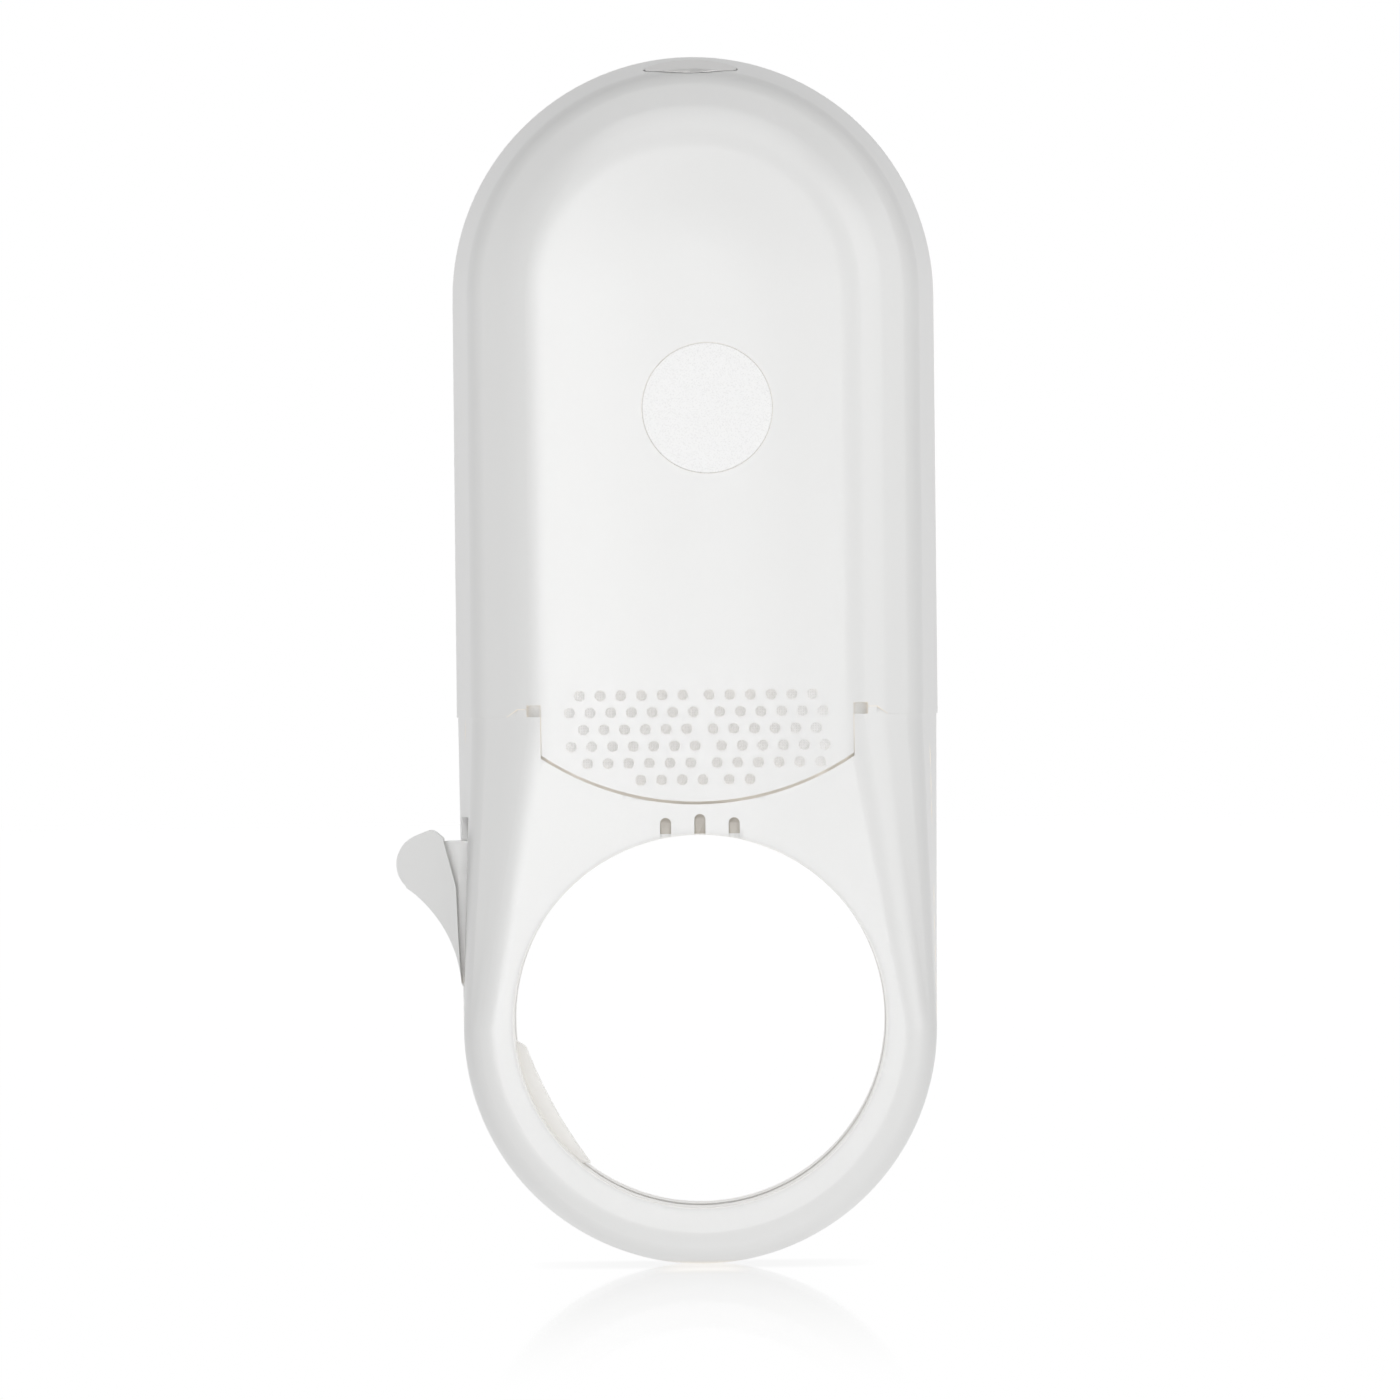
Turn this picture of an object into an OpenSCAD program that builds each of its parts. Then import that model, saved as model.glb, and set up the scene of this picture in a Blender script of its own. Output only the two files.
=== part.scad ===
// Clip-on alarm unit: a white two-part case with a battery cap, and a ring that grips a tube.
// Millimetres. The origin is the centre of the ring's bore. X is right, Z is up and the
// grille faces -Y. Every shape below is worked out from the sizes in the sections.

/* [Case] */
// Width across the cap
body_w = 66.8; // [64:0.2:70]
// Depth from the front face to the back face
body_depth = 30; // [29.6:0.2:33]
// Height of the seam above the bore's centre
seam_z = 41.9; // [41.4:0.1:43]
// Straight height of the cap, from the seam to the centre of the dome
cap_straight = 57.8; // [57.6:0.2:64]
// Thickness of the case's walls
wall = 2; // [1.8:0.05:2.1]
// Width of the flat front face
flat_w = 47; // [45:0.5:52]
// Depth of the wide front bevel
bevel_depth = 6; // [5:0.5:7]
// How much each side draws in from its widest line to the bevel
side_draft = 2.4; // [1.6:0.1:2.6]
// Size of the chamfer round the back face
back_chamfer = 3.6; // [2:0.2:4]
// How far the lower case lies under the cap's surface
lower_step = 0.2; // [0.1:0.05:0.3]
// Height of the upstand that the cap slides over
upstand_h = 4.4; // [3:0.2:4.4]
// Thickness of the upstand
upstand_t = 1.6; // [1.2:0.1:1.7]

/* [Ring] */
// Diameter of the ring's bore, for a 50 mm tube
bore_d = 51; // [50.4:0.1:51.4]
// Wall of the ring beside the bore
ring_wall = 7.35; // [7:0.05:7.6]
// How far the ring's outside is set below the bore's centre
ring_drop = 0.9; // [0.4:0.1:1.2]
// Rounding at the edges of the ring
ring_edge = 2.6; // [1.5:0.1:3]
// Thickness of the bore's wall inside the case
bore_wall = 2.2; // [1.8:0.1:2.4]
// Length of each half's bore wall, measured from the outer face
collar_l = 11.4; // [10:0.1:11.5]

/* [Tongue and grille] */
// Width of the cap's tongue
tongue_w = 42.8; // [42:0.2:44]
// How far the tongue reaches below the seam at its middle
tongue_drop = 11.8; // [11:0.1:12.4]
// Radius of the tongue's lower edge
tongue_r = 38.5; // [36:0.5:44]
// Width of the relief notch at each top corner of the tongue
notch_w = 2; // [1.5:0.1:2.5]
// Height of the relief notch above the seam
notch_h = 1.6; // [1.2:0.1:2]
// Height of the locating tooth beside each notch
tooth_h = 1; // [0.6:0.1:1.1]
// Diameter of a grille hole
grille_d = 1.5; // [1:0.1:1.7]
// Distance between the holes of a row
grille_pitch = 2.83; // [2.7:0.01:2.9]
// Distance between the rows
grille_row = 2.32; // [2.1:0.02:2.36]
// Extra space at the middle rib of the grille
grille_rib = 0.77; // [0:0.01:1]
// Thickness of the cap's skin at the grille
grille_skin = 1; // [0.8:0.1:1.2]
// Thickness of the membrane behind the grille
membrane_t = 0.3; // [0.2:0.05:0.5]

/* [Drip slots] */
// Width of a drip slot above the bore
slot_w = 1.52; // [1:0.02:2]
// Distance between the drip slots
slot_pitch = 4.7; // [3.5:0.1:6]
// Height of the middle slot above the bore
slot_h = 2.9; // [2.2:0.1:3.2]
// Depth of the slots, which don't break through the front wall
slot_deep = 1.4; // [1:0.1:1.5]

/* [Medallion] */
// Diameter of the plain inset disc
disc_d = 18; // [14:0.5:22]
// Thickness of the disc
disc_t = 0.8; // [0.5:0.1:1.1]
// Height of the disc's centre above the bore's centre
disc_z = 84; // [75:0.5:90]
// Sideways place of the disc
disc_x = 1.8; // [-3:0.1:3]

/* [Top button] */
// Diameter of the top button
button_d = 12.7; // [11:0.1:13]
// Travel of the top button
button_travel = 1; // [0.6:0.1:1]
// Place of the button in the depth of the case
button_y = -2.5; // [-3:0.1:-2]
// Gap round the button
button_gap = 0.15; // [0.1:0.05:0.25]
// Diameter of the button's stem
stem_d = 4.4; // [3.6:0.2:5]

/* [Clamp lever] */
// Thickness of the lever plate
lever_t = 6; // [5:0.2:6.4]
// Width of the thumb tab
tab_w = 11; // [9:0.5:12]
// Radius of the tab's round nose
nose_r = 4.2; // [3.3:0.1:4.6]
// How far the jaw stands into the bore
jaw_reach = 2.05; // [1.5:0.05:2.2]
// Diameter of the pivot pin
pin_d = 2.4; // [2:0.1:2.6]
// Length of the pivot pin
pin_l = 14; // [12:0.5:15]
// Running clearance between lever and pin, on the radius
pin_play = 0.05; // [0.03:0.01:0.1]
// Clearance on each side of the lever
lever_gap = 0.25; // [0.15:0.05:0.35]
// Angle that the lever turns when it is squeezed
lever_angle = 11.5; // [10:0.5:11.5]

/* [Batteries and electronics] */
// Diameter of a cell
cell_d = 14.5; // [14.1:0.1:14.6]
// Length of a cell with its cap
cell_l = 50.5; // [49.9:0.1:50.5]
// Distance between the cells' axes
cell_pitch = 15.2; // [14.8:0.1:15.6]
// Wall of the battery tray
tray_wall = 1.4; // [1.2:0.1:1.5]
// Thickness of the circuit board
board_t = 1.6; // [1.2:0.1:1.6]
// Diameter of the sounder
sounder_d = 16.6; // [14:0.2:16.8]
// Thickness of the foam ring in front of the sounder
gasket_t = 1; // [0.6:0.1:1.2]

/* [Screws] */
// Diameter of the case screws
case_screw_d = 2.2; // [2:0.1:2.6]
// Diameter of the small screws
small_screw_d = 2; // [1.6:0.1:2.2]

/* [Hidden] */
$fn = 64;
far = 200;
eps = 0.01;

half_w = body_w / 2;
front_y = -body_depth / 2;
back_y = body_depth / 2;
bore_r = bore_d / 2;
ring_r = bore_r + ring_wall;
dome_z = seam_z + cap_straight;
cap_gap = 0.25;

// Half outline of the case in plan, from the middle of the back to the middle of the front
wide_y = back_y - back_chamfer - 2.9;
outline = [
    [0, back_y],
    [half_w - back_chamfer - 0.4, back_y],
    [half_w - 0.8, back_y - back_chamfer],
    [half_w, wide_y],
    [half_w - side_draft, front_y + bevel_depth + 1],
    [half_w - side_draft - 1.2, front_y + bevel_depth - 1.2],
    [flat_w / 2 + 1.6, front_y + 0.8],
    [flat_w / 2 - 1.5, front_y],
    [0, front_y]];

// Half outline of the ring in the same plane, as radius and depth
ring_outline = [
    [0, back_y - lower_step],
    [ring_r - ring_edge, back_y - lower_step],
    [ring_r - ring_edge / 4, back_y - lower_step - ring_edge / 2],
    [ring_r, back_y - lower_step - ring_edge * 1.5],
    [ring_r - 0.3, front_y + lower_step + ring_edge * 1.5],
    [ring_r - ring_edge / 3, front_y + lower_step + ring_edge / 2],
    [ring_r - ring_edge * 1.1, front_y + lower_step],
    [0, front_y + lower_step]];

// Inward unit normal of the outline's edge from a to b
function edge_normal(a, b) = [b[1] - a[1], a[0] - b[0]] / norm(b - a);

// The same half outline, set in by d on every side
function inset(pts, d) = [for (i = [0:len(pts) - 1])
    let (last = len(pts) - 1)
    i == 0 ? pts[0] - [0, d]
    : i == last ? pts[last] + [0, d]
    : let (n0 = edge_normal(pts[i - 1], pts[i]), n1 = edge_normal(pts[i], pts[i + 1]))
        pts[i] + d * (n0 + n1) / (1 + n0 * n1)];

// Whole outline from a half one
function whole(pts) = concat(pts, [for (i = [len(pts) - 2:-1:1]) [-pts[i][0], pts[i][1]]]);

// Case outline drawn straight up, set in by d
module case_prism(d, z0, z1) {
    translate([0, 0, z0]) linear_extrude(z1 - z0) polygon(whole(inset(outline, d)));
}

// Turns a half outline about the depth axis, from angle a0 through sweep
module turned(a0, sweep) {
    rotate([90, 0, 0]) rotate([0, 0, a0]) rotate_extrude(angle = sweep, $fn = 128) children();
}

// Half outline as radius and forward depth, for turned()
module half_section(pts) {
    polygon([for (p = pts) [p[0], -p[1]]]);
}

// Dome of the cap, set in by d
module dome(d) {
    translate([0, 0, dome_z]) turned(0, 180) half_section(inset(outline, d));
}

// A cylinder along the depth axis, from y0 to y1
module along_y(r, x, z, y0, y1, fn = 48) {
    translate([x, y1, z]) rotate([90, 0, 0]) cylinder(r = r, h = y1 - y0, $fn = fn);
}

// A flat shape drawn in X and Z, given depth from y0 to y1
module plate_y(y0, y1) {
    translate([0, y1, 0]) rotate([90, 0, 0]) linear_extrude(y1 - y0) children();
}

// A box from its lowest to its highest corner
module block(a, b) {
    translate(a) cube(b - a);
}

// Pan head of a screw: its width and height as shares of the thread
head_ratio = 1.9;
head_h_ratio = 0.64;
drive_half = 0.25;
drive_depth = 0.5;

// A screw with a cross drive: head from the origin towards +Y, shank towards -Y
module screw_y(d, l) {
    head_h = d * head_h_ratio;
    cross = d * head_ratio / 3;
    along_y(d / 2, 0, 0, -l, 0, 24);
    difference() {
        along_y(d * head_ratio / 2, 0, 0, 0, head_h, 32);
        block([-cross, head_h - drive_depth, -drive_half], [cross, head_h + 1, drive_half]);
        block([-drive_half, head_h - drive_depth, -cross], [drive_half, head_h + 1, cross]);
    }
}

// ---- Tongue, grille and notches ----

tongue_cz = seam_z - tongue_drop + tongue_r;
tongue_gap = 0.4;
tongue_side_gap = 0.1;
tongue_back = front_y + wall;
// Rows of the grille: holes left of the middle rib, holes right of it, first hole's place
grille_rows = [[6, 6, -16.1], [7, 6, -17.5], [6, 6, -15.6], [7, 6, -17.3], [6, 6, -15.1], [4, 2, -7.8]];
grille_top = seam_z + 2.8;
membrane_w = tongue_w - 4.4;
membrane_play = 0.05;
membrane_edge = 0.5;
membrane_z0 = seam_z - tongue_drop + 1.6;
membrane_z1 = grille_top + 1.7;

// Outline of the tongue, grown by side and by edge
module tongue_shape(side, edge, top) {
    intersection() {
        translate([-tongue_w / 2 - side, seam_z - tongue_drop - 2])
            square([tongue_w + 2 * side, tongue_drop + 2 + top]);
        translate([0, tongue_cz]) circle(r = tongue_r + edge, $fn = 128);
    }
}

// Holes of the grille
module grille_holes(y0, y1) {
    for (i = [0:len(grille_rows) - 1])
        let (row = grille_rows[i])
        for (k = [0:row[0] + row[1] - 1])
            along_y(grille_d / 2, row[2] + k * grille_pitch + (k < row[0] ? 0 : grille_rib),
                grille_top - i * grille_row, y0, y1, 20);
}

// Outline of the membrane, which stays inside the tongue
module membrane_shape(edge) {
    intersection() {
        translate([-membrane_w / 2 - edge, membrane_z0 - edge])
            square([membrane_w + 2 * edge, membrane_z1 - membrane_z0 + 2 * edge]);
        translate([0, tongue_cz]) circle(r = tongue_r - membrane_edge + edge, $fn = 128);
    }
}

// Outline of the locating tooth on one side, grown by gap
module tooth_shape(side, gap) {
    x0 = tongue_w / 2 + notch_w - gap;
    polygon([[side * x0, seam_z - eps], [side * x0, seam_z + tooth_h + gap],
        [side * (x0 + 1.2 + 2 * gap), seam_z + tooth_h + gap],
        [side * (x0 + 2.7 + 2 * gap), seam_z - eps]]);
}

// ---- Parts that move with the cap ----

retainer_drop = 11.6;
retainer_z = dome_z + half_w - retainer_drop;
retainer_t = 1.5;
boss_r = small_screw_d / 2 + 1.4;
retainer_screw_x = button_d / 2 + boss_r + 2.25;
retainer_half = retainer_screw_x + 3;
retainer_deep = stem_d + 1.6;
spring_room = 1.6;
flange_z = retainer_z + retainer_t + spring_room + button_travel;
flange_t = 1.2;
flange_r = button_d / 2 + 1;
stop_gap = 0.05;
stem_play = 0.15;

module top_cap() {
    color("white") difference() {
        union() {
            difference() {
                union() {
                    case_prism(0, seam_z, dome_z);
                    dome(0);
                }
                case_prism(wall, seam_z - 1, dome_z);
                dome(wall);
            }
            plate_y(front_y, tongue_back) tongue_shape(0, 0, 1);
            // Bosses for the retainer, and the collar that guides and stops the button
            intersection() {
                union() {
                    for (side = [-1, 1])
                        translate([side * retainer_screw_x, button_y, retainer_z + retainer_t])
                            cylinder(r = boss_r, h = half_w, $fn = 32);
                    translate([0, button_y, flange_z + flange_t + stop_gap])
                        cylinder(r = flange_r, h = half_w);
                }
                dome(wall / 2);
            }
        }
        plate_y(front_y - 1, front_y + bevel_depth) for (side = [-1, 1]) {
            translate([side * (tongue_w + notch_w) / 2 - notch_w / 2, seam_z - 1])
                square([notch_w, notch_h + 1]);
            tooth_shape(side, 0.08);
        }
        grille_holes(front_y - 1, front_y + 2 * wall);
        plate_y(front_y + grille_skin, front_y + 2 * wall) membrane_shape(0);
        along_y(disc_d / 2, disc_x, disc_z, front_y - 1, front_y + disc_t, 96);
        translate([0, button_y, dome_z]) cylinder(r = button_d / 2 + button_gap, h = half_w + 1);
        for (side = [-1, 1])
            translate([side * retainer_screw_x, button_y, retainer_z])
                cylinder(r = small_screw_d / 2, h = retainer_t + 5, $fn = 24);
    }
}

module medallion_disc() {
    color("whitesmoke") difference() {
        along_y(disc_d / 2, disc_x, disc_z, front_y, front_y + disc_t, 96);
        difference() {
            along_y(disc_d / 2 + 1, disc_x, disc_z, front_y - 1, front_y + 0.08, 96);
            along_y(disc_d / 2 - 0.2, disc_x, disc_z, front_y - 2, front_y + 1, 96);
        }
    }
}

module acoustic_membrane() {
    color("gainsboro") plate_y(front_y + grille_skin, front_y + grille_skin + membrane_t)
        membrane_shape(-membrane_play);
}

module button_retainer() {
    color("lightgrey") difference() {
        block([-retainer_half, button_y - retainer_deep, retainer_z],
            [retainer_half, button_y + retainer_deep, retainer_z + retainer_t]);
        translate([0, button_y, retainer_z - 1])
            cylinder(r = stem_d / 2 + stem_play, h = retainer_t + 2, $fn = 48);
        for (side = [-1, 1])
            translate([side * retainer_screw_x, button_y, retainer_z - 1])
                cylinder(r = small_screw_d / 2, h = retainer_t + 2, $fn = 24);
    }
}

module retainer_screws() {
    color("silver") for (side = [-1, 1])
        translate([side * retainer_screw_x, button_y, retainer_z]) rotate([-90, 0, 0])
            screw_y(small_screw_d, retainer_t + 4);
}

module top_button() {
    color("whitesmoke") union() {
        intersection() {
            translate([0, button_y, flange_z]) cylinder(r = button_d / 2, h = half_w);
            dome(0);
        }
        translate([0, button_y, flange_z]) cylinder(r = flange_r, h = flange_t);
        translate([0, button_y, stem_z]) cylinder(r = stem_d / 2, h = flange_z - stem_z + 1);
    }
}

// ---- Spring drawn as a tube swept along a helix ----

// Points of a ring of the tube at turn angle a
function coil_ring(r, wire_r, z, a, sides) = [for (s = [0:sides - 1])
    let (b = 360 * s / sides)
    [(r + wire_r * cos(b)) * cos(a), (r + wire_r * cos(b)) * sin(a), z + wire_r * sin(b)]];

module coil(r, wire_r, h, turns, per_turn = 12, sides = 6) {
    steps = turns * per_turn;
    pts = [for (i = [0:steps])
        each coil_ring(r, wire_r, wire_r + (h - 2 * wire_r) * i / steps, 360 * i / per_turn, sides)];
    faces = concat(
        [[for (s = [0:sides - 1]) s]],
        [for (i = [0:steps - 1]) for (s = [0:sides - 1])
            let (a = i * sides + s, b = i * sides + (s + 1) % sides)
            [a, a + sides, b + sides, b]],
        [[for (s = [sides - 1:-1:0]) steps * sides + s]]);
    polyhedron(pts, faces);
}

module button_spring() {
    color("silver") translate([0, button_y, retainer_z + retainer_t])
        coil(stem_d / 2 + 1, 0.25, flange_z - retainer_z - retainer_t, 3);
}

// ---- Clamp lever ----

pivot_x = -(bore_r + 3.8);
pivot_z = 1.5;
pivot_boss_r = 2.7;
jaw_edge_r = 64;
jaw_edge_angle = 27.6;
jaw_edge_d = jaw_edge_r - bore_r + jaw_reach;
lever_half = lever_t / 2;
pocket_half = lever_half + lever_gap;
pocket_r = bore_r + 5.5;
tab_half = tab_w / 2;
arm_top = 24.95;
nose_x = -(half_w + 4.05);
nose_z = 21.8;
nose_top_z = nose_z + 3.35;
arm_out = -(half_w - 0.4);
crease_top_x = -(half_w + 1.7);
crease_end = [arm_out - 0.45, 18.7];
crease_lap = 0.5;
arm_in = pivot_x + 0.7;
arm_swing = (arm_top - pivot_z) * sin(lever_angle);
pocket_in = arm_in + arm_swing + 1;
tab_pocket_in = arm_swing - half_w - 0.5;
spring_z = 19;
spring_seat_x = pocket_in + 0.9;
spring_rest_x = arm_in + 0.45;

function polar(r, a) = [r * cos(a), r * sin(a)];

// Plate of the lever between the tab and the pivot, in X and Z
module arm_shape() {
    polygon([[pivot_x + 2.1, 4], [arm_in, arm_top], [crease_top_x - crease_lap, arm_top],
        [crease_end[0] - crease_lap, crease_end[1]], [arm_out - crease_lap, 12],
        [arm_out + 0.25, 5.3], [pivot_x - 2.5, pivot_z + 0.8],
        [pivot_x, pivot_z - 1], [pivot_x + 2.5, pivot_z + 1]]);
    translate([pivot_x, pivot_z]) circle(r = pivot_boss_r);
}

// Jaw below the pivot: its back follows the ring, its face is a shallow hollow
module jaw_shape() {
    difference() {
        polygon([[pivot_x + 2.6, pivot_z], [pivot_x - 0.6, pivot_z - 2],
            polar(bore_r + 2.4, 186), polar(bore_r + 2.3, 194), polar(bore_r + 2.1, 202),
            polar(bore_r + 1.8, 210), polar(bore_r + 1.1, 220), polar(bore_r, 230),
            polar(bore_r - 0.6, 232), polar(bore_r - 3.5, 207), [-(bore_r - 1.7), -3.75],
            [-(bore_r - 1.0), -3.2], [-(bore_r - 0.1), -2.7], [-(bore_r + 1), -1.2]]);
        translate(polar(jaw_edge_d, jaw_edge_angle)) circle(r = jaw_edge_r, $fn = 180);
    }
}

// Thumb tab: a round nose on a hollow-curved neck, with a straight crease towards the arm
module tab_shape() {
    difference() {
        union() {
            hull() {
                translate([nose_x, nose_z]) circle(r = nose_r, $fn = 48);
                translate([nose_x + 0.55, nose_top_z]) circle(r = 1.3, $fn = 32);
            }
            polygon([[nose_x - 0.7 * nose_r, nose_z - 0.7 * nose_r], [nose_x, nose_top_z],
                [crease_top_x, arm_top], crease_end, [arm_out, 8], [arm_out + 0.25, 5.3],
                [arm_out - 6, 12]]);
        }
        translate([nose_x - 13.05, 4]) circle(r = 17.76, $fn = 128);
        polygon([[crease_top_x, nose_top_z + 3], [crease_top_x, arm_top], crease_end,
            [arm_in, crease_end[1]], [arm_in, nose_top_z + 3]]);
    }
}

module clamp_lever() {
    color("white") difference() {
        union() {
            plate_y(-lever_half, lever_half) arm_shape();
            plate_y(-lever_half, lever_half) jaw_shape();
            plate_y(-tab_half, tab_half) tab_shape();
        }
        along_y(pin_d / 2 + pin_play, pivot_x, pivot_z, -lever_half - 1, lever_half + 1);
    }
}

module lever_pin() {
    color("silver") along_y(pin_d / 2, pivot_x, pivot_z, -pin_l / 2, pin_l / 2);
}

module lever_spring() {
    color("silver") translate([spring_rest_x + 0.1, 0, spring_z]) rotate([0, 90, 0])
        coil(1.9, 0.25, spring_seat_x - spring_rest_x - 0.1, 3.5);
}

// A flat ring's stretch between two radii and two angles
module sector(r0, r1, a0, a1) {
    difference() {
        intersection() {
            circle(r = r1, $fn = 128);
            polygon([[0, 0], polar(2 * r1, a0), polar(2 * r1, (a0 + a1) / 2), polar(2 * r1, a1)]);
        }
        circle(r = r0, $fn = 128);
    }
}

// Room for the lever in both halves of the lower case, over its whole travel
module lever_pocket() {
    plate_y(-pocket_half, pocket_half) {
        translate([pivot_x, pivot_z]) circle(r = pivot_boss_r + 0.3);
        polygon([[pivot_x - 2.9, pivot_z], [-(half_w + 3), 4.4], [-(half_w + 3), arm_top + 1.2],
            [pocket_in, arm_top + 1.2], [-bore_r, 10], [-(bore_r + 0.95), 3.2],
            [pivot_x + 2.9, pivot_z]]);
        sector(bore_r + 0.9, pocket_r, 171, 236);
        sector(bore_r - 1, bore_r + 2, 177, 235);
    }
    plate_y(-tab_half - 0.4, tab_half + 0.4)
        polygon([[-(half_w + 3), 28.2], [tab_pocket_in, 28.2], [tab_pocket_in, 18],
            [-(half_w - 1.5), 5], [-(half_w + 3), 4.4]]);
}

// ---- Lower case, in two halves that meet at Y = 0 ----

cavity_z = 10;
bay_in = tab_pocket_in + 1.8;
floor_back = front_y + wall + cap_gap + upstand_t;
relief = 0.3;
relief_half = body_depth / 2 - lower_step - collar_l;
channel_in = bore_r + bore_wall + 0.2;
channel_out = ring_r - 2.25;
channel_half = body_depth / 2 - lower_step - wall - 0.3;
upper_boss = [27.4, 33];
lower_boss_angle = 22;
lower_boss_r = (channel_in + channel_out) / 2;
boss_case_r = case_screw_d / 2 + 1.5;
head_d = case_screw_d * head_ratio;
screw_play = 0.15;
head_play = 0.2;
head_sink = 2.5;
screw_y1 = back_y - lower_step - head_sink;
screw_l = screw_y1 + 7;
tray_leg_x = 19;
tray_leg_z = 35;
gasket_w = 2;
sounder_z = seam_z + upstand_h - 0.4 - sounder_d / 2;

function screw_places() = concat(
    [for (side = [-1, 1]) [side * upper_boss[0], upper_boss[1]]],
    [for (side = [-1, 1]) polar(lower_boss_r, 270 + side * lower_boss_angle)]);

// Outer shape of the lower case: the cap's outline at the seam, blended into the ring
module lower_outer() {
    hull() {
        case_prism(lower_step, seam_z - 0.3, seam_z);
        translate([0, 0, -ring_drop]) rotate([90, 0, 0]) rotate([0, 0, 180])
            rotate_extrude(angle = 180, $fn = 64) half_section(ring_outline);
    }
}

// Hollow of the lower case above the bore's wall
module lower_hollow() {
    difference() {
        case_prism(lower_step + wall, cavity_z, seam_z + 1);
        along_y(bore_r + bore_wall, 0, 0, -far, far, 128);
        // Bay round the lever, and the rib that its spring seats on
        block([-far, -tab_half - 2, -far], [bay_in, tab_half + 2, arm_top + 5]);
        block([spring_seat_x, -far, spring_z - 3], [spring_seat_x + 1.6, far, spring_z + 3]);
        for (side = [-1, 1])
            along_y(boss_case_r, side * upper_boss[0], upper_boss[1], -far, far);
    }
}

// Hollow channel inside the ring's own walls
module ring_channel() {
    difference() {
        turned(-160, 175) translate([channel_in, -channel_half])
            square([channel_out - channel_in, 2 * channel_half]);
        for (p = screw_places()) along_y(boss_case_r, p[0], p[1], -far, far);
    }
}

// One half of the lower case, before its own holes: side -1 is the front, 1 is the back
module lower_half(side) {
    y0 = side < 0 ? -far : 0;
    y1 = side < 0 ? 0 : far;
    difference() {
        union() {
            difference() {
                intersection() {
                    lower_outer();
                    block([-far, y0, -far], [far, y1, far]);
                }
                lower_hollow();
                ring_channel();
            }
            // Upstand that the cap slides over
            intersection() {
                difference() {
                    union() {
                        case_prism(wall / 2 + lower_step, seam_z - 2.5, seam_z - 0.5);
                        case_prism(wall + cap_gap, seam_z - 1, seam_z + upstand_h);
                    }
                    case_prism(wall + cap_gap + upstand_t, seam_z - 3, seam_z + upstand_h + 1);
                }
                block([-far, y0, -far], [far, y1, far]);
            }
        }
        along_y(bore_r, 0, 0, -far, far, 128);
        along_y(bore_r + relief, 0, 0, -relief_half, relief_half, 128);
        along_y(pin_d / 2, pivot_x, pivot_z, -pin_l / 2, pin_l / 2);
        lever_pocket();
    }
}

module lower_front_housing() {
    color("ghostwhite") difference() {
        union() {
            lower_half(-1);
            // Floor behind the tongue
            difference() {
                block([-tongue_w / 2 - 2, tongue_back, seam_z - tongue_drop - 1.2],
                    [tongue_w / 2 + 2, floor_back, seam_z]);
                along_y(bore_r + bore_wall / 2, 0, 0, -far, far, 128);
            }
            // Locating teeth beside the notches
            intersection() {
                difference() {
                    case_prism(lower_step, seam_z - 0.2, seam_z + 2);
                    case_prism(wall, seam_z - 1, seam_z + 3);
                }
                plate_y(-far, 0) for (side = [-1, 1]) tooth_shape(side, 0);
            }
        }
        plate_y(front_y - 1, tongue_back + cap_gap)
            tongue_shape(tongue_side_gap, tongue_gap, 0.5);
        // Sound window
        along_y(sounder_d / 2 - gasket_w, 0, sounder_z, front_y, 0, 64);
        for (i = [-1:1])
            translate([0.2 + i * slot_pitch, 0, 0]) {
                top = bore_r + slot_h - slot_w / 2 - abs(i) * 0.5;
                block([-slot_w / 2, front_y - 1, bore_r - 2], [slot_w / 2, front_y + slot_deep, top]);
                along_y(slot_w / 2, 0, top, front_y - 1, front_y + slot_deep, 32);
            }
        for (p = screw_places())
            along_y(case_screw_d / 2, p[0], p[1], screw_y1 - screw_l, 1, 24);
    }
}

module lower_rear_housing() {
    color("ghostwhite") difference() {
        union() {
            lower_half(1);
            for (side = [-1, 1])
                block([side * tray_leg_x - 3, tray_leg_y, tray_leg_z - 3.5],
                    [side * tray_leg_x + 3, back_y - wall, tray_leg_z + 3.5]);
        }
        for (p = screw_places()) {
            along_y(case_screw_d / 2 + screw_play, p[0], p[1], -1, screw_y1 + 1, 24);
            along_y(head_d / 2 + head_play, p[0], p[1], screw_y1, far, 32);
        }
        for (side = [-1, 1]) {
            along_y(case_screw_d / 2 + screw_play, side * tray_leg_x, tray_leg_z, 0, far, 24);
            along_y(head_d / 2 + head_play, side * tray_leg_x, tray_leg_z, screw_y1, far, 32);
        }
    }
}

module housing_screws() {
    color("silver") for (p = screw_places())
        translate([p[0], screw_y1, p[1]]) screw_y(case_screw_d, screw_l);
}

// ---- Battery tray and cells ----

tray_y1 = back_y - wall - 0.3;
tray_y0 = tray_y1 - tray_wall - cell_d - 0.6;
tray_z0 = seam_z + upstand_h + 0.2;
tray_floor = tray_z0 + tray_wall;
cell_gap_z = 3.2;
plate_t = 0.4;
tray_ceiling = tray_floor + cell_l + cell_gap_z + plate_t;
tray_z1 = tray_ceiling + tray_wall;
tray_half = cell_pitch + cell_d / 2 + 0.9 + tray_wall;
cell_y = tray_y1 - tray_wall - 0.15 - cell_d / 2;
tray_leg_y = back_y - wall - cap_gap - upstand_t;
board_y1 = tray_y0;
board_y0 = board_y1 - board_t;
board_boss_x = tray_half + 1.2;
board_boss_z = [tray_z0 + 6, tray_z1 - 6];
// The switch hangs on the button's place, and its pedestal fills what the cells leave
switch_drop = 9.1;
switch_board_z = retainer_z - switch_drop;
pedestal_half = 5;
switch_board_t = 1.2;
switch_board_half = 7;
tact_half = 3;
plunger_r = 1.7;
plunger_hidden = 1;
tact_h = 3.5;
plunger_travel = 0.25;
plunger_h = 1.5;
plunger_z = switch_board_z + switch_board_t + tact_h;
stem_z = plunger_z + plunger_h + button_travel - plunger_travel + stop_gap;
sounder_y0 = floor_back + gasket_t;

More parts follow.
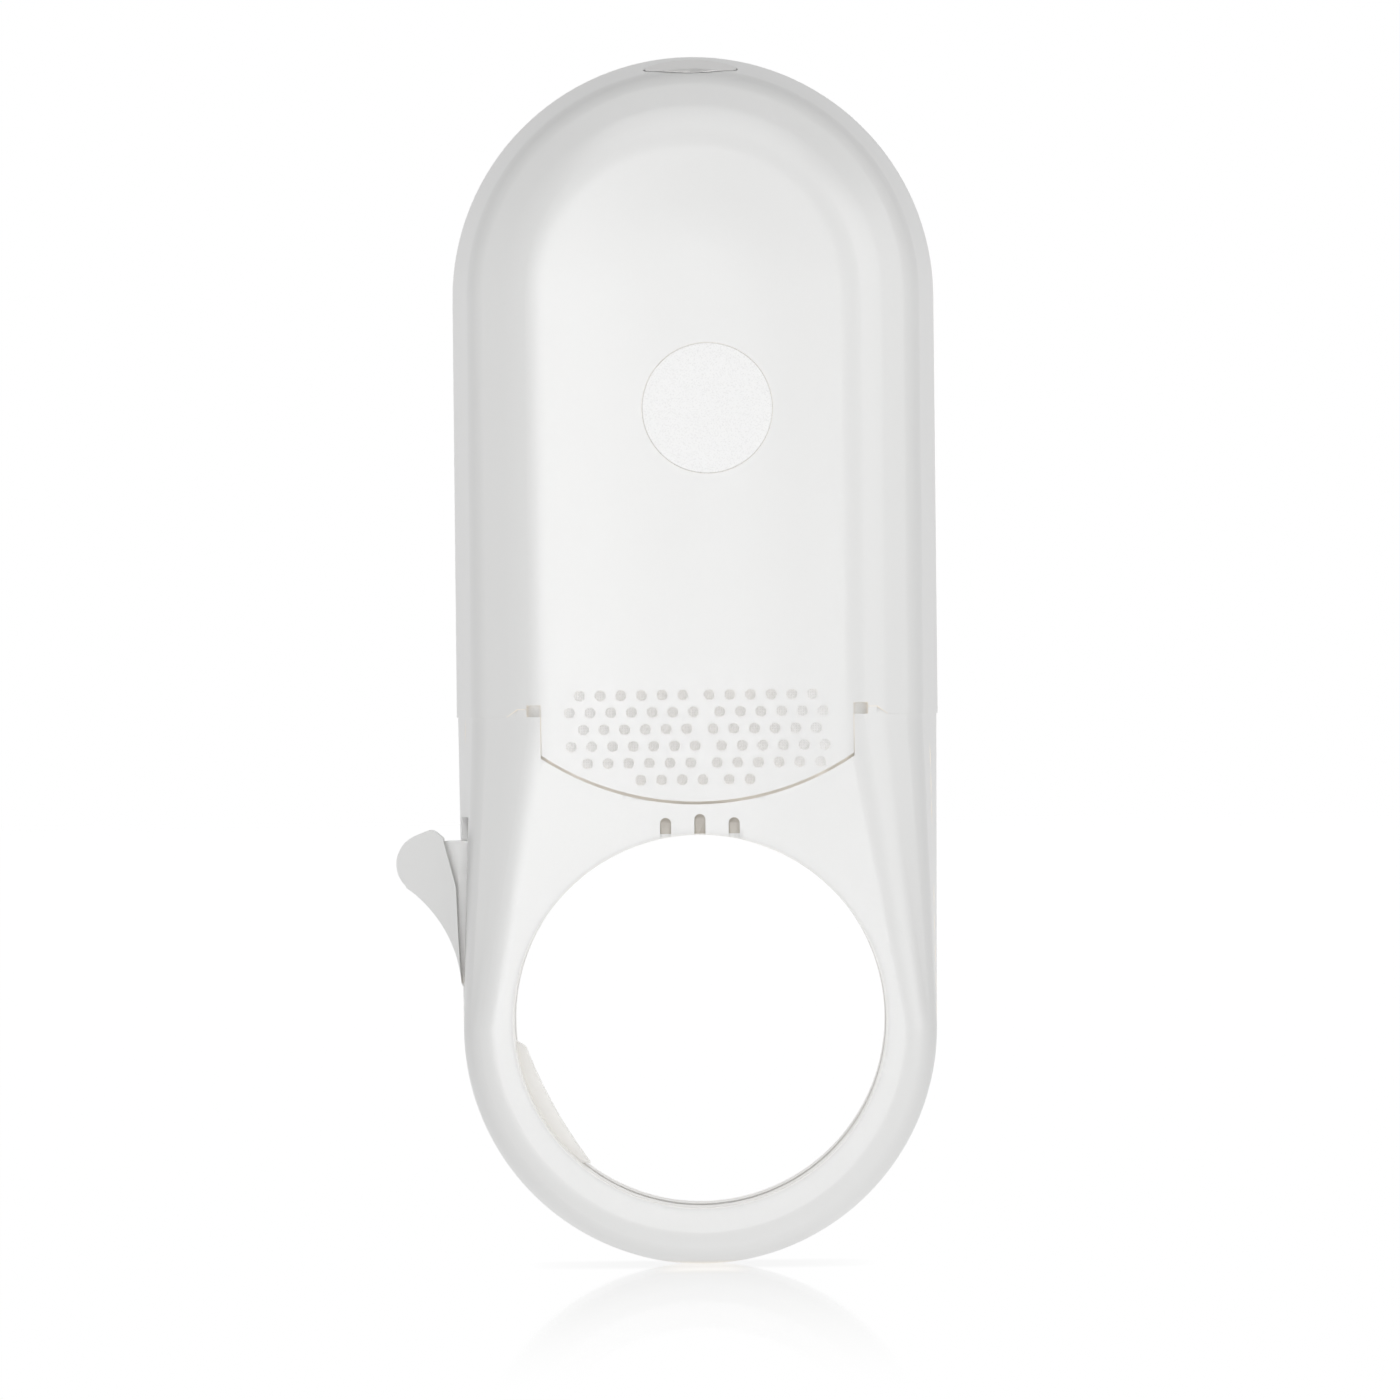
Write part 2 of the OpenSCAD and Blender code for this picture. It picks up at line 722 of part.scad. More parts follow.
module battery_tray() {
    color("dimgray") difference() {
        union() {
            block([-tray_half, tray_y1 - tray_wall, tray_z0], [tray_half, tray_y1, tray_z1]);
            for (side = [-1, 1])
                block([side * (tray_half - tray_wall / 2) - tray_wall / 2, tray_y0, tray_z0],
                    [side * (tray_half - tray_wall / 2) + tray_wall / 2, tray_y1, tray_z1]);
            block([-tray_half, tray_y0, tray_z0], [tray_half, tray_y1, tray_floor]);
            block([-tray_half, tray_y0, tray_ceiling], [tray_half, tray_y1, tray_z1]);
            for (side = [-1, 1]) {
                block([side * tray_leg_x - 3, tray_leg_y - 5, tray_leg_z - 3.5],
                    [side * tray_leg_x + 3, tray_leg_y, tray_floor]);
                for (z = board_boss_z)
                    along_y(2.2, side * board_boss_x, z, tray_y0, tray_y0 + 7, 32);
            }
            block([-pedestal_half, tray_y0, tray_z1 - 1],
                [pedestal_half, button_y + pedestal_half, switch_board_z]);
            block([-pedestal_half, button_y - pedestal_half, tray_z1],
                [pedestal_half, button_y + pedestal_half, switch_board_z]);
        }
        for (side = [-1, 1]) {
            along_y(case_screw_d / 2, side * tray_leg_x, tray_leg_z, 0, far, 24);
            for (z = board_boss_z)
                along_y(small_screw_d / 2, side * board_boss_x, z, -far, tray_y0 + 5, 24);
        }
    }
}

module tray_screws() {
    color("silver") for (side = [-1, 1])
        translate([side * tray_leg_x, screw_y1, tray_leg_z])
            screw_y(case_screw_d, screw_y1 - tray_leg_y + 4);
}

// One cell standing on end, its terminal up or down
module cell(x, up) {
    nub = 1.3;
    z0 = up ? tray_ceiling - plate_t - cell_l : tray_floor + plate_t;
    translate([x, cell_y, z0 + (up ? 0 : nub)]) cylinder(r = cell_d / 2, h = cell_l - nub);
    translate([x, cell_y, up ? z0 + cell_l - nub : z0]) cylinder(r = 2.75, h = nub, $fn = 32);
}

module cell_left() {
    color("darkseagreen") cell(-cell_pitch, true);
}

module cell_middle() {
    color("darkseagreen") cell(0, false);
}

module cell_right() {
    color("darkseagreen") cell(cell_pitch, true);
}

module contact_springs() {
    color("silver") {
        for (side = [-1, 1])
            translate([side * cell_pitch, cell_y, tray_floor]) coil(3.6, 0.35, cell_gap_z, 3);
        translate([0, cell_y, tray_ceiling - cell_gap_z]) coil(3.6, 0.35, cell_gap_z, 3);
    }
}

module contact_plates() {
    color("silver") {
        for (side = [-1, 1])
            block([side * cell_pitch - 5, cell_y - 5, tray_ceiling - plate_t],
                [side * cell_pitch + 5, cell_y + 5, tray_ceiling]);
        block([-5, cell_y - 5, tray_floor], [5, cell_y + 5, tray_floor + plate_t]);
    }
}

// ---- Circuit board and what is on it ----

board_low_half = 20;
board_low_z = bore_r + bore_wall + 1.2;
board_room = board_y0 - front_y - wall;
chip_w = 10;
chip_t = 1.6;
chip_z = tray_z0 + 19.5;
small_chip_w = 2;
small_chip_z = tray_z0 + 21.5;
capacitor_r = 3.15;
capacitor_h = board_room * 0.71;
capacitor_x = 14;
capacitor_z = chip_z + chip_w + 8;
coil_r = 4.5;
coil_core_r = 2.4;
coil_h = board_room * 0.53;
coil_flange = coil_h / 4;
coil_z = capacitor_z + 6;

module circuit_board() {
    color("seagreen") difference() {
        union() {
            block([-board_boss_x - 2, board_y0, tray_z0 + 1], [board_boss_x + 2, board_y1, tray_z1]);
            block([-board_low_half, board_y0, board_low_z], [board_low_half, board_y1, tray_z0 + 1]);
        }
        for (side = [-1, 1]) for (z = board_boss_z)
            along_y(small_screw_d / 2, side * board_boss_x, z, -far, far, 24);
    }
}

module board_screws() {
    color("silver") for (side = [-1, 1]) for (z = board_boss_z)
        translate([side * board_boss_x, board_y0, z]) rotate([0, 0, 180])
            screw_y(small_screw_d, board_t + 4);
}

module sounder() {
    color("black") difference() {
        along_y(sounder_d / 2, 0, sounder_z, sounder_y0, board_y0, 64);
        along_y(sounder_d / 2 - gasket_w, 0, sounder_z, sounder_y0 - 1, sounder_y0 + 0.6, 64);
    }
    color("silver") along_y(3, 0, sounder_z, sounder_y0 + 0.2, sounder_y0 + 0.6, 32);
}

module sounder_gasket() {
    color("darkslategray") difference() {
        along_y(sounder_d / 2, 0, sounder_z, floor_back, sounder_y0, 64);
        along_y(sounder_d / 2 - gasket_w, 0, sounder_z, floor_back - 1, sounder_y0 + 1, 64);
    }
}

module controller_chip() {
    color("black") block([-chip_w / 2, board_y0 - chip_t, chip_z], [chip_w / 2, board_y0, chip_z + chip_w]);
}

module capacitors() {
    color("slategray") for (side = [-1, 1]) {
        along_y(capacitor_r, side * capacitor_x, capacitor_z, board_y0 - capacitor_h, board_y0);
        translate([side * (chip_w / 2 + 6) - small_chip_w / 2, board_y0 - small_chip_w / 2, small_chip_z])
            cube([small_chip_w, small_chip_w / 2, small_chip_w * 1.5]);
    }
}

module boost_coil() {
    color("saddlebrown") difference() {
        along_y(coil_r, 0, coil_z, board_y0 - coil_h, board_y0);
        difference() {
            along_y(coil_r + 1, 0, coil_z, board_y0 - coil_h + coil_flange, board_y0 - coil_flange);
            along_y(coil_core_r, 0, coil_z, board_y0 - coil_h - 1, board_y0 + 1);
        }
    }
}

module switch_board() {
    color("seagreen") block([-switch_board_half, button_y - pedestal_half - 2, switch_board_z],
        [switch_board_half, button_y + pedestal_half + 2, switch_board_z + switch_board_t]);
}

module tact_switch() {
    color("black") difference() {
        block([-tact_half, button_y - tact_half, switch_board_z + switch_board_t],
            [tact_half, button_y + tact_half, plunger_z]);
        translate([0, button_y, plunger_z - plunger_hidden])
            cylinder(r = plunger_r + 0.1, h = plunger_hidden + 1, $fn = 32);
    }
}

module switch_plunger() {
    color("ivory") translate([0, button_y, plunger_z - plunger_hidden + plunger_travel + stop_gap])
        cylinder(r = plunger_r, h = plunger_h + plunger_hidden - plunger_travel - stop_gap, $fn = 32);
}

top_cap();
medallion_disc();
acoustic_membrane();
button_retainer();
retainer_screws();
top_button();
button_spring();
lower_front_housing();
lower_rear_housing();
housing_screws();
battery_tray();
tray_screws();
cell_left();
cell_middle();
cell_right();
contact_springs();
contact_plates();
circuit_board();
board_screws();
sounder();
sounder_gasket();
controller_chip();
capacitors();
boost_coil();
switch_board();
tact_switch();
switch_plunger();
clamp_lever();
lever_pin();
lever_spring();
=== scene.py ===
import math
import bmesh
import bpy
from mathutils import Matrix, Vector


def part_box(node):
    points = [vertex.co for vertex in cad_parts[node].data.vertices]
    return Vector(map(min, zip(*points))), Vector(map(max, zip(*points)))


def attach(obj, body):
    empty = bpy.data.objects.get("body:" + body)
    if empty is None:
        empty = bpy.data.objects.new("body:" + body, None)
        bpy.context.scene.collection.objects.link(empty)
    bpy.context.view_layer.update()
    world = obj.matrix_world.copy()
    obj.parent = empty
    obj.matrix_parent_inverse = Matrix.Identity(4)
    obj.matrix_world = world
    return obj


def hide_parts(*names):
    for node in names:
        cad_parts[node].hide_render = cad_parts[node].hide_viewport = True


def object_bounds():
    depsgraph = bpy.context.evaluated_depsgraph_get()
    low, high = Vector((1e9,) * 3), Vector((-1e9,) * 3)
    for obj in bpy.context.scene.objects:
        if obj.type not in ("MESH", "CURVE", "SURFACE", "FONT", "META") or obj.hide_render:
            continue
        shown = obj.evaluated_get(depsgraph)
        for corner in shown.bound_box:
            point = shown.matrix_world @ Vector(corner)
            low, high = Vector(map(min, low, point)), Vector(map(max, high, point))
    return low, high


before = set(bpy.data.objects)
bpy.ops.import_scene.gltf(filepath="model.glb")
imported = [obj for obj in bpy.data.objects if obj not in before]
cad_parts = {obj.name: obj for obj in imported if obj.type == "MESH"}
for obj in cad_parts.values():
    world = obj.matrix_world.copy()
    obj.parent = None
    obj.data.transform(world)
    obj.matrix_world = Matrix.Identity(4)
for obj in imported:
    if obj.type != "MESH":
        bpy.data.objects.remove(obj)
cad_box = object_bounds()
bpy.ops.object.select_all(action="DESELECT")


# ---- Studio ----
# A white cyclorama: the unit stands on its ring on a polished white table, seen straight on
# through a long lens. Soft boxes on the right and above the front give most of the light. A
# key lamp and two low lamps in front fill the face, and a weak one stands on the left.

MM = 0.001
touching = 0.001 * MM
weld = 0.002 * MM
scene = bpy.context.scene
scene.view_settings.view_transform = "Standard"

view_distance = 2.2
view_width = 193 * MM
view_middle = Vector((0.4 * MM, 0, 44 * MM))
view_tilt = math.radians(0.0)
view_roll = math.radians(0.6)
bpy.ops.object.camera_add(
    location=view_middle + view_distance * Vector((0, -math.cos(view_tilt), math.sin(view_tilt))),
    rotation=(math.pi / 2 - view_tilt, view_roll, 0))
camera = bpy.context.object
camera.data.sensor_width = 36
camera.data.lens = 36 * view_distance / view_width
camera.data.clip_end = 20
scene.camera = camera

world = bpy.data.worlds.new("white_studio")
scene.world = world
world.use_nodes = True
ambient = 0.17
ambient_slope = (-0.08, 0, 0)


def add_node(tree, kind, **values):
    """Adds a node, sets its own settings and, for names that are sockets, their values."""
    node = tree.nodes.new(kind)
    for name, value in values.items():
        if hasattr(node, name):
            setattr(node, name, value)
        else:
            node.inputs[name.replace("_", " ")].default_value = value
    return node


def seen_directly(tree):
    """1 for rays from the lens and for mirror and glass rays, 0 for the light on the object."""
    path = add_node(tree, "ShaderNodeLightPath")
    first = add_node(tree, "ShaderNodeMath", operation="MAXIMUM")
    both = add_node(tree, "ShaderNodeMath", operation="MAXIMUM")
    tree.links.new(path.outputs["Is Camera Ray"], first.inputs[0])
    tree.links.new(path.outputs["Is Glossy Ray"], first.inputs[1])
    tree.links.new(first.outputs[0], both.inputs[0])
    tree.links.new(path.outputs["Is Transmission Ray"], both.inputs[1])
    return both.outputs[0]


sky = world.node_tree
sky.nodes.clear()
sky_out = add_node(sky, "ShaderNodeOutputWorld")
sky_mix = add_node(sky, "ShaderNodeMixShader")
sky_light = add_node(sky, "ShaderNodeBackground", Color=(1, 1, 1, 1))
sky_place = add_node(sky, "ShaderNodeTexCoord")
sky_slope = add_node(sky, "ShaderNodeVectorMath", operation="DOT_PRODUCT")
sky_slope.inputs[1].default_value = ambient_slope
sky_level = add_node(sky, "ShaderNodeMath", operation="ADD")
sky_level.inputs[1].default_value = ambient
sky_white = add_node(sky, "ShaderNodeBackground", Color=(1, 1, 1, 1), Strength=1)
sky.links.new(seen_directly(sky), sky_mix.inputs[0])
sky.links.new(sky_place.outputs["Generated"], sky_slope.inputs[0])
sky.links.new(sky_slope.outputs["Value"], sky_level.inputs[0])
sky.links.new(sky_level.outputs[0], sky_light.inputs["Strength"])
sky.links.new(sky_light.outputs[0], sky_mix.inputs[1])
sky.links.new(sky_white.outputs[0], sky_mix.inputs[2])
sky.links.new(sky_mix.outputs[0], sky_out.inputs[0])


def add_lamp(name, place, aim, size, watts):
    """A rectangular soft box that faces the aim point."""
    bpy.ops.object.light_add(type="AREA", location=place)
    lamp = bpy.context.object
    lamp.name = name
    lamp.data.shape = "RECTANGLE"
    lamp.data.size, lamp.data.size_y = size
    lamp.data.energy = watts
    lamp.rotation_euler = (Vector(aim) - Vector(place)).to_track_quat("-Z", "Y").to_euler()


add_lamp("key_soft_box", (-0.33, -1.5, 0.1), (0, 0, 0.05), (0.4, 0.5), 2.3)
add_lamp("front_lamp", (0, -1.45, 0.04), (0, 0, 0.04), (0.5, 0.2), 0.8)
add_lamp("low_strip", (0, -1.3, 0.0), (0, 0, 0.0), (0.6, 0.06), 0.7)
add_lamp("right_soft_box", (1.0, -0.9, 0.15), (0, 0, 0.05), (0.9, 1.2), 4.8)
add_lamp("left_soft_box", (-1.2, -0.3, 0.15), (0, 0, 0.05), (0.4, 0.8), 0.3)
add_lamp("top_soft_box", (0, -1.0, 1.1), (0, 0, 0.05), (1.4, 0.9), 4.2)

# The table: white, polished, mirror-bright only near the object, and with a painted contact shadow
# under it
table_z = cad_box[0][2]
bpy.ops.mesh.primitive_grid_add(x_subdivisions=4, y_subdivisions=4, size=12,
                                location=(0, 2, table_z))
table = bpy.context.object
table.name = "white_table"
bpy.ops.object.transform_apply(location=True)
gloss = bpy.data.materials.new("polished_white_table")
gloss.use_nodes = True
tree = gloss.node_tree
tree.nodes.clear()
out = add_node(tree, "ShaderNodeOutputMaterial")
place = add_node(tree, "ShaderNodeTexCoord")
axes = add_node(tree, "ShaderNodeSeparateXYZ")
tree.links.new(place.outputs["Object"], axes.inputs[0])
fade = add_node(tree, "ShaderNodeMapRange", interpolation_type="SMOOTHSTEP",
                From_Min=-0.42, From_Max=0.1, To_Min=0.0, To_Max=0.5)
tree.links.new(axes.outputs[1], fade.inputs["Value"])
# Painted shadow: the table's white turns grey where the object stands close above it.
nearness = add_node(tree, "ShaderNodeAmbientOcclusion", samples=8, Distance=0.008)
contact = add_node(tree, "ShaderNodeMixRGB", Color1=(0.86, 0.86, 0.86, 1), Color2=(1, 1, 1, 1))
tree.links.new(nearness.outputs["AO"], contact.inputs[0])
white = add_node(tree, "ShaderNodeEmission", Strength=1)
tree.links.new(contact.outputs[0], white.inputs[0])
mirror = add_node(tree, "ShaderNodeBsdfGlossy", Color=(1, 1, 1, 1), Roughness=0.03)
polished = add_node(tree, "ShaderNodeMixShader")
tree.links.new(fade.outputs[0], polished.inputs[0])
tree.links.new(white.outputs[0], polished.inputs[1])
tree.links.new(mirror.outputs[0], polished.inputs[2])
table_glow = add_node(tree, "ShaderNodeEmission", Strength=0.78)
table_mix = add_node(tree, "ShaderNodeMixShader")
tree.links.new(seen_directly(tree), table_mix.inputs[0])
tree.links.new(table_glow.outputs[0], table_mix.inputs[1])
tree.links.new(polished.outputs[0], table_mix.inputs[2])
tree.links.new(table_mix.outputs[0], out.inputs[0])
table.data.materials.append(gloss)


# ---- Upper case ----
# The cap is one moulding in white satin plastic: a flat, slightly crowned front, a wide soft
# bevel that runs over the dome, drafted sides and a chamfered back. It slides over the lower
# case's upstand and carries the tongue with the grille.

low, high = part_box("top_cap")
half_width = high[0]
case_front, case_back = low[1], high[1]
dome_z = high[2] - half_width
lower_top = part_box("lower_rear_housing")[1][2]
upstand = 4.4 * MM
seam_z = lower_top - upstand
skin = 0.05 * MM
front_crown = 0.6 * MM
button_hole_r = 6.5 * MM


def select(piece, kind, test):
    """Selects the vertices, edges or faces of the piece being edited that pass the test."""
    bpy.ops.mesh.select_mode(type=kind)
    bpy.ops.mesh.select_all(action="DESELECT")
    mesh = bmesh.from_edit_mesh(piece.data)
    items = {"VERT": mesh.verts, "EDGE": mesh.edges, "FACE": mesh.faces}[kind]
    for item in items:
        item.select_set(test(item))
    mesh.select_flush_mode()
    bmesh.update_edit_mesh(piece.data)


def finish_with(piece, kind, **settings):
    """Adds a modifier to the piece and applies it."""
    bpy.ops.object.select_all(action="DESELECT")
    bpy.context.view_layer.objects.active = piece
    piece.select_set(True)
    modifier = piece.modifiers.new(kind.lower(), kind)
    for name, value in settings.items():
        setattr(modifier, name, value)
    bpy.ops.object.modifier_apply(modifier=modifier.name)


def combine(piece, tool, operation):
    """Cuts, joins or trims the piece with a tool, which is used up."""
    finish_with(piece, "BOOLEAN", object=tool, operation=operation, solver="EXACT")
    bpy.data.objects.remove(tool)


def rounded_chain(name, corners, z):
    """An open chain of edges through (x, y, rounding) corners at one height, in edit mode."""
    bpy.ops.mesh.primitive_plane_add(size=MM, location=(corners[0][0], corners[0][1], z))
    chain = bpy.context.object
    chain.name = name
    bpy.ops.object.transform_apply(location=True)
    bpy.ops.object.mode_set(mode="EDIT")
    bpy.ops.mesh.select_mode(type="VERT")
    bpy.ops.mesh.merge(type="CENTER")
    for here, there in zip(corners, corners[1:]):
        step = (there[0] - here[0], there[1] - here[1], 0)
        bpy.ops.mesh.extrude_region_move(TRANSFORM_OT_translate={"value": step})
    for x, y, rounding in corners:
        if rounding:
            corner = Vector((x, y, z))
            select(chain, "VERT", lambda v: (v.co - corner).length < touching)
            bpy.ops.mesh.bevel(offset=rounding, segments=6, affect="VERTICES",
                               clamp_overlap=False)
    return chain


def half_case(front, back, width, drop):
    """Corners of half the case's section, from the middle of the back to that of the front."""
    return [
        (0, back, 0),
        (width - 4.0 * MM, back, 2.0 * MM),
        (width - 0.8 * MM, back - 3.6 * MM, 1.6 * MM),
        (width, back - 6.5 * MM, 0.8 * MM),
        (width - 2.4 * MM, front + 7.0 * MM, 1.4 * MM),
        (width - 3.6 * MM, front + 4.8 * MM, 1.2 * MM),
        (width - 8.7 * MM, front + 0.9 * MM + drop, 1.7 * MM),
        (width - 11.6 * MM, front + drop, 1.7 * MM),
        (9.3 * MM, front, 3 * MM),
        (0, front, 0)]


def mirrored(piece):
    """Makes the left half of a piece from its right half and closes the openings."""
    bpy.ops.mesh.select_all(action="SELECT")
    bpy.ops.mesh.remove_doubles(threshold=weld)
    bpy.ops.object.mode_set(mode="OBJECT")
    finish_with(piece, "MIRROR", use_axis=(True, False, False), merge_threshold=weld)
    bpy.ops.object.mode_set(mode="EDIT")
    bpy.ops.mesh.select_mode(type="EDGE")
    bpy.ops.mesh.select_all(action="DESELECT")
    bpy.ops.mesh.select_non_manifold()
    bpy.ops.mesh.edge_face_add()
    bpy.ops.mesh.select_all(action="SELECT")
    bpy.ops.mesh.normals_make_consistent(inside=False)
    bpy.ops.object.mode_set(mode="OBJECT")


def smoothed(piece):
    """Smooth shading that keeps the flat faces flat."""
    bpy.ops.object.select_all(action="DESELECT")
    bpy.context.view_layer.objects.active = piece
    piece.select_set(True)
    bpy.ops.object.shade_smooth_by_angle(angle=math.radians(32))
    finish_with(piece, "WEIGHTED_NORMAL", mode="FACE_AREA", keep_sharp=True)


def solid_copy(node):
    """A closed copy of a frame node, for trimming a piece to its hollows."""
    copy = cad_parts[node].copy()
    copy.data = copy.data.copy()
    copy.parent = None
    scene.collection.objects.link(copy)
    bpy.ops.object.select_all(action="DESELECT")
    bpy.context.view_layer.objects.active = copy
    copy.select_set(True)
    bpy.ops.object.mode_set(mode="EDIT")
    bpy.ops.mesh.select_all(action="SELECT")
    bpy.ops.mesh.remove_doubles(threshold=touching)
    bpy.ops.object.mode_set(mode="OBJECT")
    return copy


def soften(piece, width, test):
    """Rounds the sharp edges that pass the test by a small width."""
    bpy.ops.object.select_all(action="DESELECT")
    bpy.context.view_layer.objects.active = piece
    piece.select_set(True)
    bpy.ops.object.mode_set(mode="EDIT")
    select(piece, "EDGE", lambda e: e.is_manifold and e.calc_face_angle(0) > math.radians(40)
           and all(test(v.co) for v in e.verts))
    bpy.ops.mesh.bevel(offset=width, segments=2, affect="EDGES", clamp_overlap=True)
    bpy.ops.object.mode_set(mode="OBJECT")


def case_form():
    """Outer form of the cap, down to below the tongue."""
    corners = half_case(case_front + skin, case_back - skin, half_width - skin, front_crown)
    form = rounded_chain("case_form", corners, dome_z)
    bpy.ops.mesh.select_all(action="SELECT")
    bpy.ops.mesh.spin(steps=32, angle=math.pi / 2, center=(0, 0, dome_z), axis=(0, 1, 0))
    select(form, "EDGE", lambda e: all(abs(v.co.z - dome_z) < touching for v in e.verts)
           and sum(v.co.x for v in e.verts) > 0.01 * MM)
    bpy.ops.mesh.extrude_region_move(
        TRANSFORM_OT_translate={"value": (0, 0, low[2] - MM - dome_z)})
    mirrored(form)
    return form


cap = case_form()
combine(cap, solid_copy("top_cap"), "INTERSECT")
cap.name = "moulded_cap"
soften(cap, 0.22 * MM, lambda p: p.y < case_front + 0.8 * MM or abs(p.z - seam_z) < 0.02 * MM)
button_axis = Vector((0, (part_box("top_button")[0][1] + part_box("top_button")[1][1]) / 2, 0))
soften(cap, 0.2 * MM, lambda p: p.z > dome_z + 25 * MM
       and abs((p.xy - button_axis.xy).length - button_hole_r) < 0.1 * MM)
smoothed(cap)


def surface(name, roughness, metallic=0):
    """Starts a material: returns it with its tree, its shader and the place on the object."""
    material = bpy.data.materials.new(name)
    material.use_nodes = True
    tree = material.node_tree
    shader = tree.nodes["Principled BSDF"]
    shader.inputs["Roughness"].default_value = roughness
    shader.inputs["Metallic"].default_value = metallic
    return material, tree, shader, add_node(tree, "ShaderNodeTexCoord").outputs["Object"]


def pattern(tree, place, kind, output=0, **values):
    """A texture laid on the object's own coordinates."""
    node = add_node(tree, kind, **values)
    tree.links.new(place, node.inputs["Vector"])
    return node.outputs[output]


def two_tone(tree, factor, socket, first, second):
    """Mixes two colours by a factor into a shader's socket."""
    tone = add_node(tree, "ShaderNodeMixRGB", Color1=(*first, 1), Color2=(*second, 1))
    tree.links.new(factor, tone.inputs[0])
    tree.links.new(tone.outputs[0], socket)


def ranged(tree, factor, socket, first, second):
    """Turns a factor from 0 to 1 into a value between two others."""
    span = add_node(tree, "ShaderNodeMapRange", To_Min=first, To_Max=second)
    tree.links.new(factor, span.inputs["Value"])
    tree.links.new(span.outputs[0], socket)


def relief(tree, shader, height, strength, depth):
    """Small relief in the surface, as deep as given."""
    bump = add_node(tree, "ShaderNodeBump", Strength=strength, Distance=depth)
    tree.links.new(height, bump.inputs["Height"])
    tree.links.new(bump.outputs[0], shader.inputs["Normal"])


def plastic(name, colour, roughness, grain, drift=0.985, specular=0.5, painted_recess_shade_and_glow=0):
    """Moulded plastic: a fine spark-eroded grain and a faint drift of tone. With
    painted_recess_shade_and_glow set, narrow gaps and recesses get painted shade, a darker warm
    tint, and the deepest of them a painted warm glow."""
    material, tree, shader, place = surface(name, roughness)
    shader.inputs["Specular IOR Level"].default_value = specular
    tone = pattern(tree, place, "ShaderNodeTexNoise", Scale=38, Detail=2)
    fine = pattern(tree, place, "ShaderNodeTexNoise", Scale=5200, Detail=3, Roughness=0.6)
    drifted = add_node(tree, "ShaderNodeMixRGB", Color1=(*[c * drift for c in colour], 1),
                       Color2=(*colour, 1))
    tree.links.new(tone, drifted.inputs[0])
    tree.links.new(drifted.outputs[0], shader.inputs["Base Color"])
    # Painted shade and painted glow: the ambient occlusion node tints recesses darker and warmer
    # and makes the deepest of them glow.
    if painted_recess_shade_and_glow:
        near = add_node(tree, "ShaderNodeAmbientOcclusion", samples=8, Distance=1.5 * MM)
        recess_shade_amount = add_node(tree, "ShaderNodeMapRange", From_Min=0.5, From_Max=0.1)
        depth = add_node(tree, "ShaderNodeMapRange", From_Min=0.35, From_Max=0.0)
        tree.links.new(near.outputs["AO"], recess_shade_amount.inputs["Value"])
        tree.links.new(near.outputs["AO"], depth.inputs["Value"])
        painted_recess_shade = add_node(tree, "ShaderNodeMixRGB", Color2=(0.6, 0.565, 0.51, 1))
        tree.links.new(recess_shade_amount.outputs[0], painted_recess_shade.inputs[0])
        tree.links.new(drifted.outputs[0], painted_recess_shade.inputs[1])
        tree.links.new(painted_recess_shade.outputs[0], shader.inputs["Base Color"])
        shader.inputs["Emission Color"].default_value = (1, 0.94, 0.86, 1)
        ranged(tree, depth.outputs[0], shader.inputs["Emission Strength"], 0, painted_recess_shade_and_glow)
    ranged(tree, fine, shader.inputs["Roughness"], roughness - 0.05, roughness + 0.05)
    relief(tree, shader, fine, grain, 0.04 * MM)
    return material


def dressed(piece, material, body, slot, *nodes):
    """Gives a finished piece its material, its body and the frame nodes that it stands for."""
    piece.data.materials.clear()
    piece.data.materials.append(material)
    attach(piece, body)
    if nodes:
        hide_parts(*nodes)


# The cap's plastic has painted shade and a painted glow in its recesses and gaps.
cap_plastic = plastic("satin_white_plastic", (0.86, 0.86, 0.852), 0.3, 0.07, specular=1.0,
                      painted_recess_shade_and_glow=0.4)
dressed(cap, cap_plastic, "cap", "case_white", "top_cap")


# ---- Top button ----
# A round button in the same plastic that fills its hole in the dome and follows its curve.

low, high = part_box("top_button")
button_r = 6.35 * MM
bpy.ops.mesh.primitive_cylinder_add(vertices=96, radius=button_r, depth=half_width,
                                    location=(0, button_axis.y, high[2] - half_width / 2))
button = bpy.context.object
button.name = "push_button"
bpy.ops.object.transform_apply(location=True)
combine(button, case_form(), "INTERSECT")
combine(button, solid_copy("top_button"), "INTERSECT")
soften(button, 0.4 * MM, lambda p: p.z > dome_z + 29 * MM)
smoothed(button)
# Painted shade: the button's plastic is a darker, warmer copy of the cap's plastic, standing in for
# the shade on its upward face.
shaded_button_plastic = plastic("shaded_button_plastic", (0.84, 0.83, 0.815), 0.34, 0.07, specular=1.0)
dressed(button, shaded_button_plastic, "button", "case_white", "top_button")


# ---- Badge ----
# A plain round disc let into the front, a little smoother than the case.

low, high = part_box("medallion_disc")
disc_r = (high[0] - low[0]) / 2
disc_middle = Vector(((low[0] + high[0]) / 2, (low[1] + high[1]) / 2, (low[2] + high[2]) / 2))
bpy.ops.mesh.primitive_cylinder_add(vertices=128, radius=disc_r - 0.03 * MM,
                                    depth=high[1] - low[1] - 2 * skin,
                                    location=disc_middle, rotation=(math.pi / 2, 0, 0))
badge = bpy.context.object
badge.name = "plain_badge"
bpy.ops.object.transform_apply(location=True, rotation=True)
soften(badge, 0.18 * MM, lambda p: p.y < disc_middle.y)
smoothed(badge)
badge_plastic = plastic("smooth_white_plastic", (0.885, 0.885, 0.88), 0.28, 0.04, specular=1.0)
dressed(badge, badge_plastic, "cap", "disc_white", "medallion_disc")


# ---- Lower case ----
# Two mouldings screwed together at the middle of the depth. From the seam the front narrows
# round the ring, and the wide bevel turns into the ring's soft edge. The bore takes the tube.

bore_r = 25.5 * MM
ring_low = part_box("lower_rear_housing")[0][2]
ring_drop = 0.9 * MM
ring_r = -ring_low - ring_drop
step = 0.2 * MM + skin
lower_front, lower_back = case_front + step, case_back - step
slots_half = 7.5 * MM
slots_low, slots_high = bore_r + 0.2 * MM, bore_r + 3.6 * MM
pocket_x = -31 * MM


